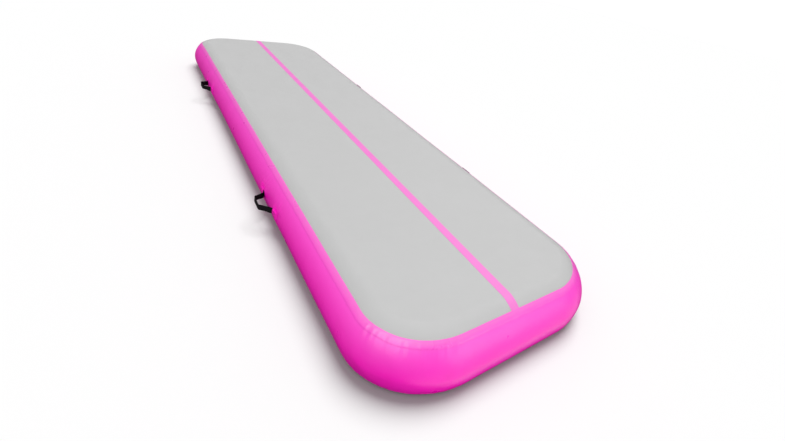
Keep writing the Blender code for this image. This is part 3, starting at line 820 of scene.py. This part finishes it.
def cut_valve_hole(wall):
    """Opens the wall where the valve's barrel goes through."""
    bpy.ops.mesh.primitive_cylinder_add(vertices=96, radius=VALVE_HOLE, depth=40 * MM, location=tuple(VALVE))
    cutter = bpy.context.object
    cutter.rotation_euler = Vector(valve_out()).to_track_quat("Z", "Y").to_euler()
    bpy.context.view_layer.update()
    cut = wall.modifiers.new("valve_hole", "BOOLEAN")
    cut.operation = "DIFFERENCE"
    cut.object = cutter
    bpy.context.view_layer.objects.active = wall
    bpy.ops.object.modifier_apply(modifier=cut.name)
    bpy.data.objects.remove(cutter)


def make_valve_patch():
    """The reinforcing ring on the wall round the valve."""
    wall_place = place_at_height(VALVE[2])
    s_middle = FAR_END_MIDDLE - VALVE[0]
    arc_middle = float(arc_at(wall_place))
    radii = np.linspace(VALVE_PATCH_INNER, VALVE_PATCH_OUTER, VALVE_PATCH_RINGS)
    turn = turns(VALVE_PATCH_SIDES)
    along = radii[:, None] * np.cos(turn)[None, :]
    up = radii[:, None] * np.sin(turn)[None, :]
    lifts = np.full(along.shape, LIFT + POCKET_SKIN)
    lifts[-1] = LIFT + 0.3 * MM
    lifts[-2] = LIFT + 0.85 * MM
    place = place_at_arc(arc_middle + up)
    outer, inner = (skin_grid(place, s_middle + along, lift) for lift in (lifts, LIFT))
    return shell("valve_ring_patch", outer, inner, np.stack([along, up], -1), around_columns=True)


def valve_out():
    """The direction that the valve's axis points out of the wall."""
    normal_out, normal_z = profile_normal(place_at_height(VALVE[2]))
    return np.array([0, float(normal_out), float(normal_z)])


def on_valve(points):
    """World places of points given in the valve's own frame, whose Z points out of the wall."""
    out = valve_out()
    up = np.array([0, -out[2], out[1]])
    origin = VALVE - out * GASKET_MIDDLE
    points = np.asarray(points)
    return origin - points[:, :1] * np.array([1.0, 0, 0]) + points[:, 1:2] * up + points[:, 2:] * out


def ring_loft(name, rings):
    """A closed piece through rings of points, capped at both ends."""
    rings = np.asarray(rings)
    index, faces = tube_faces(*rings.shape[:2])
    obj = new_object(name, on_valve(rings.reshape(-1, 3)), faces)
    cap_ends(obj, index[0].tolist(), index[-1].tolist())
    return obj


def make_cap():
    """The screw-in cap: a plug, a knurled disc with a dished face, and a bar to turn it by."""
    turn = turns(CAP_SIDES)
    knurl = KNURL_DEPTH * np.cos(turn * KNURL_COUNT)
    rings = []
    for radius, z, ribbed in CAP_PROFILE:
        r = radius * MM + knurl * ribbed
        rings.append(np.column_stack([r * np.cos(turn), r * np.sin(turn), np.full(len(turn), z * MM)]))
    disc = ring_loft("cap_disc", rings)
    rings = []
    for z, size in GRIP_PROFILE:
        x = GRIP_HALF_LENGTH * size * squared(np.cos(turn), 0.4)
        y = GRIP_HALF_WIDTH * (1 - 2.2 * (1 - size)) * squared(np.sin(turn), 0.4)
        y = y * (1 + 0.16 * np.cos(x / GRIP_HALF_LENGTH * math.pi))
        rings.append(np.column_stack([x, y, np.full(len(turn), z * MM)]))
    grip = ring_loft("cap_grip", rings)
    return join_pieces("valve_screw_cap", disc, grip)


def make_spring():
    """The coil spring under the button, whose end turns lie flat."""
    turn = np.linspace(0, 2 * math.pi * SPRING_TURNS, SPRING_STEPS * SPRING_TURNS + 1)[:, None]
    side = turns(SPRING_SIDES)[None, :]
    radius = SPRING_RADIUS + SPRING_WIRE * np.cos(side)
    risen = np.clip((turn - math.pi / 2) / (turn[-1] - math.pi), 0, 1)
    z = SPRING_LOW + (SPRING_HIGH - SPRING_LOW) * risen + SPRING_WIRE * np.sin(side)
    return ring_loft("valve_coil_spring", np.stack([radius * np.cos(turn), radius * np.sin(turn), z], -1))


# ---- Materials ----


class Finish:
    """One procedural material: a Principled shader and the nodes that feed it."""

    def __init__(self, name, colour, roughness, coordinates="Object", **sockets):
        self.material = bpy.data.materials.new(name)
        self.material.use_nodes = True
        self.tree = self.material.node_tree
        self.shader = self.tree.nodes["Principled BSDF"]
        self.shader.inputs["Base Color"].default_value = (*colour, 1)
        self.shader.inputs["Roughness"].default_value = roughness
        for socket, value in sockets.items():
            self.shader.inputs[socket.replace("_", " ")].default_value = value
        self.place = self.tree.nodes.new("ShaderNodeTexCoord").outputs[coordinates]
        self.height = None

    def node(self, kind, **settings):
        node = self.tree.nodes.new(kind)
        for name, value in settings.items():
            setattr(node, name, value)
        return node

    def join(self, source, target):
        if isinstance(source, bpy.types.NodeSocket):
            self.tree.links.new(source, target)
        else:
            target.default_value = source

    def math(self, operation, first, second=0.0, clamp=False):
        node = self.node("ShaderNodeMath", operation=operation, use_clamp=clamp)
        self.join(first, node.inputs[0])
        self.join(second, node.inputs[1])
        return node.outputs[0]

    def scaled(self, factors):
        node = self.node("ShaderNodeVectorMath", operation="MULTIPLY")
        self.join(self.place, node.inputs[0])
        node.inputs[1].default_value = factors
        return node.outputs[0]

    def noise(self, size, detail=3.0, stretch=(1, 1, 1)):
        """Lumps about that many metres across, from 0 to 1."""
        node = self.node("ShaderNodeTexNoise")
        node.inputs["Scale"].default_value = 1
        node.inputs["Detail"].default_value = detail
        self.join(self.scaled([part / size for part in stretch]), node.inputs["Vector"])
        return node.outputs["Fac"]

    def spread(self, value, low, high, to_low=0.0, to_high=1.0):
        """The value's range from low to high, stretched to another range."""
        node = self.node("ShaderNodeMapRange")
        self.join(value, node.inputs["Value"])
        for socket, number in zip(("From Min", "From Max", "To Min", "To Max"), (low, high, to_low, to_high)):
            node.inputs[socket].default_value = number
        return node.outputs["Result"]

    def ripple(self, across, along):
        """Threads: bands across and along the surface, those many metres apart, from 0 to 1."""
        turns = self.node("ShaderNodeVectorMath", operation="SINE")
        self.join(self.scaled((math.pi * 2 / across, math.pi * 2 / along, 0)), turns.inputs[0])
        parts = self.node("ShaderNodeSeparateXYZ")
        self.join(turns.outputs[0], parts.inputs[0])
        return parts.outputs[0], parts.outputs[1]

    def weave(self, across, along):
        first, second = self.ripple(across, along)
        return self.math("MULTIPLY", first, second)

    def blend_colour(self, share, colour):
        """Mixes a colour over the base colour so far."""
        socket = self.shader.inputs["Base Color"]
        mix = self.node("ShaderNodeMix", data_type="RGBA")
        if socket.links:
            self.tree.links.new(socket.links[0].from_socket, mix.inputs[6])
        else:
            mix.inputs[6].default_value = socket.default_value
        self.join(share, mix.inputs[0])
        mix.inputs[7].default_value = (*colour, 1)
        self.tree.links.new(mix.outputs[2], socket)

    def mottle(self, colour, most, low, high, *noise):
        """Mixes a colour in, up to that share, as the noise goes from low to high."""
        self.blend_colour(self.spread(self.noise(*noise), low, high, 0, most), colour)

    def vary_roughness(self, value, low, high):
        self.join(self.spread(value, 0.3, 0.7, low, high), self.shader.inputs["Roughness"])

    def painted_highlight_above(self, low, high, colour):
        """Mixes a colour in between two lengths up the wall, along a ragged line, as a painted highlight."""
        split = self.node("ShaderNodeSeparateXYZ")
        self.join(self.place, split.inputs[0])
        ragged = self.math("MULTIPLY", self.math("SUBTRACT", self.noise(0.03, 4, (1, 2.5, 1)), 0.5), 14 * MM)
        height = self.math("ADD", split.outputs[1], ragged)
        self.blend_colour(self.spread(height, float(low), float(high)), colour)

    def bump(self, height, distance, strength=1.0):
        """Adds relief of that many metres over what is there."""
        node = self.node("ShaderNodeBump")
        node.inputs["Distance"].default_value = distance
        node.inputs["Strength"].default_value = strength
        self.join(height, node.inputs["Height"])
        normal = self.shader.inputs["Normal"]
        if normal.links:
            self.tree.links.new(normal.links[0].from_socket, node.inputs["Normal"])
        self.tree.links.new(node.outputs["Normal"], normal)


def coated_fabric(name, colour, pale, deep, roughness, weave_depth, **sockets):
    """PVC-coated polyester: the base cloth's weave shows through a smooth skin, with a little wear."""
    finish = Finish(name, colour, roughness, coordinates="UV", **sockets)
    finish.mottle(pale, 0.55, 0.45, 0.75, 0.28, 4)
    finish.mottle(deep, 0.35, 0.52, 0.85, 0.05, 5)
    finish.mottle(pale, 0.30, 0.66, 0.80, 0.004, 6, (1, 6, 1))
    finish.vary_roughness(finish.noise(0.09, 5), roughness - 0.05, roughness + 0.07)
    finish.bump(finish.weave(1.4 * MM, 1.4 * MM), weave_depth)
    finish.bump(finish.noise(0.6 * MM, 2), weave_depth * 0.6)
    finish.bump(finish.noise(7 * MM, 3), 0.03 * MM)
    finish.bump(finish.noise(45 * MM, 3), 0.30 * MM)
    return finish


def pink_cover():
    return coated_fabric(
        "pink_coated_fabric", PINK, WORN_PINK, DEEP_PINK, 0.32, 0.03 * MM, IOR=1.45
    )


def wall_cover():
    """The wall's pink, with a painted highlight that pales it towards the shoulder, where light from above
    falls.
    """
    finish = pink_cover()
    finish.painted_highlight_above(arc_at(0.10), arc_at(TOP_TAPE[1]), SHOULDER_HIGHLIGHT_PINK)
    return finish


def seam_tape():
    """A painted highlight pales the tape along the seam, and less so towards its free edge on the wall."""
    finish = coated_fabric(
        "pink_seam_tape", PINK, WORN_PINK, DEEP_PINK, 0.30, 0.03 * MM, IOR=1.47
    )
    finish.painted_highlight_above(arc_at(0.10), arc_at(TOP_TAPE[1]), SHOULDER_HIGHLIGHT_PINK)
    low, high = arc_at(TOP_TAPE[1]), arc_at(TOP_TAPE[0])
    finish.painted_highlight_above(low, low + 0.7 * (high - low), TAPE_HIGHLIGHT_PINK)
    return finish


def stripe_print():
    return coated_fabric(
        "pale_pink_stripe", PALE_PINK, (0.62, 0.160, 0.455), (0.57, 0.115, 0.395), 0.50, 0.06 * MM,
        IOR=1.45,
    )


def grey_cover():
    return coated_fabric(
        "grey_coated_fabric", GREY, (0.364, 0.364, 0.366), (0.342, 0.342, 0.344), 0.60, 0.09 * MM,
        IOR=1.45,
    )


def webbing():
    """Woven polypropylene strap: ribs across and a twill along."""
    finish = Finish("black_webbing", (0.0035, 0.002, 0.0035), 0.8, coordinates="UV", IOR=1.3)
    ribs, lines = finish.ripple(1.6 * MM, 1.1 * MM)
    finish.blend_colour(finish.spread(ribs, -0.2, 1, 0, 0.7), (0.016, 0.012, 0.016))
    finish.bump(ribs, 0.16 * MM)
    finish.bump(finish.weave(3.2 * MM, 2.2 * MM), 0.22 * MM)
    finish.bump(lines, 0.10 * MM)
    finish.mottle((0.012, 0.009, 0.012), 0.5, 0.55, 0.8, 0.5 * MM, 3, (1, 5, 1))
    finish.mottle((0.010, 0.008, 0.010), 0.35, 0.5, 0.8, 18 * MM, 4)
    finish.vary_roughness(finish.noise(6 * MM, 3), 0.70, 0.88)
    return finish.material


def moulded(name, colour, pale, roughness, grain=0.5 * MM, depth=0.03 * MM, **sockets):
    """Moulded plastic or rubber with a fine spark-eroded grain."""
    finish = Finish(name, colour, roughness, **sockets)
    finish.mottle(pale, 0.5, 0.45, 0.75, 9 * MM, 4)
    finish.mottle(pale, 0.4, 0.68, 0.85, 1.1 * MM, 5, (1, 4, 1))
    finish.vary_roughness(finish.noise(5 * MM, 4), roughness - 0.06, roughness + 0.08)
    finish.bump(finish.noise(grain, 3), depth)
    return finish.material


def brushed_steel():
    finish = Finish("spring_steel", (0.62, 0.62, 0.63), 0.28, Metallic=1.0)
    finish.mottle((0.42, 0.41, 0.40), 0.4, 0.5, 0.8, 2 * MM, 4)
    finish.vary_roughness(finish.noise(1.5 * MM, 4), 0.22, 0.38)
    finish.bump(finish.noise(0.12 * MM, 3, (1, 1, 8)), 0.01 * MM)
    return finish.material


def woven_core():
    """The uncoated cloths and yarns of the drop-stitch core."""
    finish = Finish("drop_stitch_cloth", (0.80, 0.79, 0.75), 0.8, Sheen_Weight=0.2)
    finish.mottle((0.70, 0.69, 0.64), 0.5, 0.4, 0.7, 12 * MM, 4)
    finish.bump(finish.weave(1.2 * MM, 1.2 * MM), 0.15 * MM)
    finish.bump(finish.noise(0.7 * MM, 3), 0.08 * MM)
    return finish.material


def laminate():
    finish = Finish("white_laminate", (0.78, 0.78, 0.77), 0.4, IOR=1.47)
    finish.mottle((0.70, 0.70, 0.68), 0.5, 0.45, 0.75, 0.04, 4)
    finish.vary_roughness(finish.noise(0.02, 4), 0.34, 0.5)
    finish.bump(finish.weave(1.6 * MM, 1.6 * MM), 0.05 * MM)
    finish.bump(finish.noise(4 * MM, 3), 0.06 * MM)
    return finish.material


# ---- The mat ----


def finish_piece(obj, material, slot, *nodes, body="mat"):
    obj.data.materials.clear()
    obj.data.materials.append(material)
    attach(obj, body)
    if nodes:
        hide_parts(*nodes)


def build_mat(pink, wall_pink, tape_pink, pale, grey):
    wall_places = even_places(BOTTOM_JOINT + JOINT_GAP, TOP_JOINT - JOINT_GAP, WALL_ROWS)
    wall = band("side_wall_cover", wall_places, STATIONS, 0, -COVER)
    cut_valve_hole(wall)
    finish_piece(wall, wall_pink, "pink_cover", "outer_side_wall")
    top_places = (TOP_JOINT + JOINT_GAP, TOP_TAPE_CLEAR, 1)
    left, right = half_skins("top_cover", top_places, STRIPE_HALF, TOP_EDGE_ROWS, TOP_FLAT_ROWS)
    left.name, right.name = "top_cover_left", "top_cover_right"
    finish_piece(left, grey, "grey_cover", "top_panel_left")
    finish_piece(right, grey, "grey_cover", "top_panel_right")
    finish_piece(stripe(), pale, "pink_tape", "centre_line")
    base_places = (BOTTOM_JOINT - JOINT_GAP, BOTTOM_TAPE_CLEAR, -1)
    base_left, base_right = half_skins("base", base_places, 0, BASE_EDGE_ROWS, BASE_FLAT_ROWS)
    base = join_pieces("base_cover", base_left, base_right, merge=WELD)
    finish_piece(base, pink, "pink_cover", "bottom_panel")
    for name, (high, low), node in (
        ("top_edge_tape", TOP_TAPE, "top_seam_tape"),
        ("base_edge_tape", BOTTOM_TAPE, "bottom_seam_tape"),
    ):
        places, lifts = tape_rows(low, high, TAPE_ROWS)
        uneven = TAPE_WANDER * line_noise(STATIONS, 0.06, 41)
        uneven += 0.4 * TAPE_WANDER * line_noise(STATIONS, 0.015, 42)
        wandering = places[:, None] + uneven[None, :] * np.linspace(1, 0.3, TAPE_ROWS)[:, None]
        tape = band(name, wandering, STATIONS, lifts, TAPE_UNDERSIDE)
        finish_piece(tape, tape_pink, "pink_tape", node)
    lap_s = FAR_END_MIDDLE - LAP_X + np.linspace(-LAP_HALF, LAP_HALF, LAP_COLUMNS)
    lap_places = even_places(BOTTOM_TAPE[0] + 3 * TAPE_WANDER, TOP_TAPE[1] - 3 * TAPE_WANDER, LAP_ROWS)
    lap = band("side_lap_tape", lap_places, lap_s, LIFT + TAPE, TAPE_UNDERSIDE, closed=False)
    finish_piece(lap, tape_pink, "pink_tape", "wall_lap_tape")


def join_pieces(name, first, second, merge=0.0):
    bpy.ops.object.select_all(action="DESELECT")
    first.select_set(True)
    second.select_set(True)
    bpy.context.view_layer.objects.active = first
    bpy.ops.object.join()
    first.name = name
    tidy_mesh(first, merge)
    return first


def build_handles(pink, thread, strap_material):
    for joint in HANDLES:
        spot = WallSpot(joint)
        name = joint["child"]
        make_strap(joint, spot, strap_material)
        for letter in ("a", "b"):
            node = f"{name}_patch_{letter}"
            low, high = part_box(node)
            half = math.copysign(1, (low.y + high.y) / 2 - spot.origin[1])
            patch = make_patch(f"{name}_weld_patch_{letter}", spot, half)
            finish_piece(patch, pink, "pink_cover", node)
            stitching = make_stitching(f"{name}_stitching_{letter}", spot, half)
            finish_piece(stitching, thread, "black_webbing")


def build_valve(pink, plastic, rubber, steel):
    finish_piece(make_valve_patch(), pink, "pink_cover", "valve_patch")
    finish_piece(make_cap(), plastic, "grey_plastic", "valve_cap", body="valve_cap")
    for node, material in (
        ("valve_body", plastic),
        ("valve_nut", plastic),
        ("valve_plunger", plastic),
        ("valve_gasket", rubber),
        ("valve_seal", rubber),
        ("valve_cap_strap", rubber),
    ):
        give(node, material)
    spring = make_spring()
    finish_piece(spring, steel, "spring_steel", "valve_spring")
    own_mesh(spring)


def give(node, material):
    """Puts a material on a CAD node."""
    obj = frame["nodes"][node]
    if not obj.material_slots:
        obj.data.materials.append(material)
    for slot in obj.material_slots:
        slot.material = material


# ---- Camera, floor and light ----


def add_camera():
    data = bpy.data.cameras.new("camera")
    data.sensor_width = CAMERA_SENSOR
    data.lens = CAMERA_LENS
    data.shift_x, data.shift_y = CAMERA_SHIFT
    data.clip_end = FLOOR_SIZE
    camera = link(bpy.data.objects.new("camera", data))
    camera.location = CAMERA_PLACE
    camera.rotation_euler = CAMERA_TURN
    bpy.context.scene.camera = camera


def add_floor():
    bpy.ops.mesh.primitive_plane_add(size=FLOOR_SIZE, location=(0, 0, -FLOOR_GAP))
    floor = bpy.context.object
    floor.name = "studio_floor"
    finish = Finish("studio_floor", FLOOR_WHITE, 0.9)
    finish.shader.inputs["Specular IOR Level"].default_value = 0
    ray = finish.node("ShaderNodeLightPath")
    finish.blend_colour(ray.outputs["Is Diffuse Ray"], FLOOR_TO_THE_MAT)
    finish.blend_colour(ray.outputs["Is Glossy Ray"], FLOOR_MIRRORED)
    floor.data.materials.append(finish.material)
    return floor


def add_sky():
    world = bpy.data.worlds.new("studio")
    world.use_nodes = True
    tree = world.node_tree
    background = tree.nodes["Background"]
    background.inputs["Color"].default_value = (1, 1, 1, 1)
    ray = tree.nodes.new("ShaderNodeLightPath")
    lit = tree.nodes.new("ShaderNodeMapRange")
    tree.links.new(ray.outputs["Is Glossy Ray"], lit.inputs["Value"])
    lit.inputs["To Min"].default_value = SKY
    lit.inputs["To Max"].default_value = MIRRORED_SKY
    seen = tree.nodes.new("ShaderNodeMapRange")
    tree.links.new(ray.outputs["Is Camera Ray"], seen.inputs["Value"])
    tree.links.new(lit.outputs["Result"], seen.inputs["To Min"])
    seen.inputs["To Max"].default_value = BACKDROP
    tree.links.new(seen.outputs["Result"], background.inputs["Strength"])
    bpy.context.scene.world = world


def add_suns(floor):
    # The fills light the mat's walls and leave its shadow on the floor alone.
    off_floor = bpy.data.collections.new("all_but_the_floor")
    off_floor.objects.link(floor)
    off_floor.collection_objects[0].light_linking.link_state = "EXCLUDE"
    for name, direction, energy, width in SUNS:
        sun = bpy.data.lights.new(name, "SUN")
        sun.energy = energy
        sun.angle = math.radians(width)
        lamp = link(bpy.data.objects.new(name, sun))
        lamp.rotation_euler = Vector(direction).to_track_quat("Z", "Y").to_euler()
        if name.endswith("fill"):
            lamp.light_linking.receiver_collection = off_floor
            sun.cycles.max_bounces = 0


def add_reflector_card():
    card = bpy.data.lights.new("reflector_card", "AREA")
    card.shape = "RECTANGLE"
    card.size, card.size_y = CARD_SIZE
    card.energy = CARD_POWER
    card.cycles.max_bounces = 0
    board = link(bpy.data.objects.new("reflector_card", card))
    board.location = (CARD_X, -HALF_LENGTH - CARD_GAP - CARD_SIZE[1] / 2, 1 * MM)
    board.rotation_euler = (math.pi, 0, 0)
    board.visible_camera = False


bpy.context.scene.view_settings.view_transform = "Standard"
add_camera()
add_sky()
add_suns(add_floor())
add_reflector_card()
PINK_MATERIAL = pink_cover().material
PLASTIC = moulded("grey_moulded_plastic", (0.24, 0.24, 0.25), (0.32, 0.32, 0.33), 0.42, IOR=1.5)
RUBBER = moulded("black_rubber", (0.018, 0.018, 0.019), (0.04, 0.04, 0.04), 0.6)
THREAD_MATERIAL = moulded("black_thread", (0.02, 0.018, 0.022), (0.05, 0.045, 0.055), 0.55, 0.3 * MM)
WALL_PINK, SEAM_PINK = wall_cover().material, seam_tape().material
build_mat(PINK_MATERIAL, WALL_PINK, SEAM_PINK, stripe_print().material, grey_cover().material)
build_handles(PINK_MATERIAL, THREAD_MATERIAL, webbing())
build_valve(PINK_MATERIAL, PLASTIC, RUBBER, brushed_steel())
give("drop_stitch_core", woven_core())
LAMINATE_MATERIAL = laminate()
for layer_node in ("top_laminate", "bottom_laminate", "inner_side_wall"):
    give(layer_node, LAMINATE_MATERIAL)
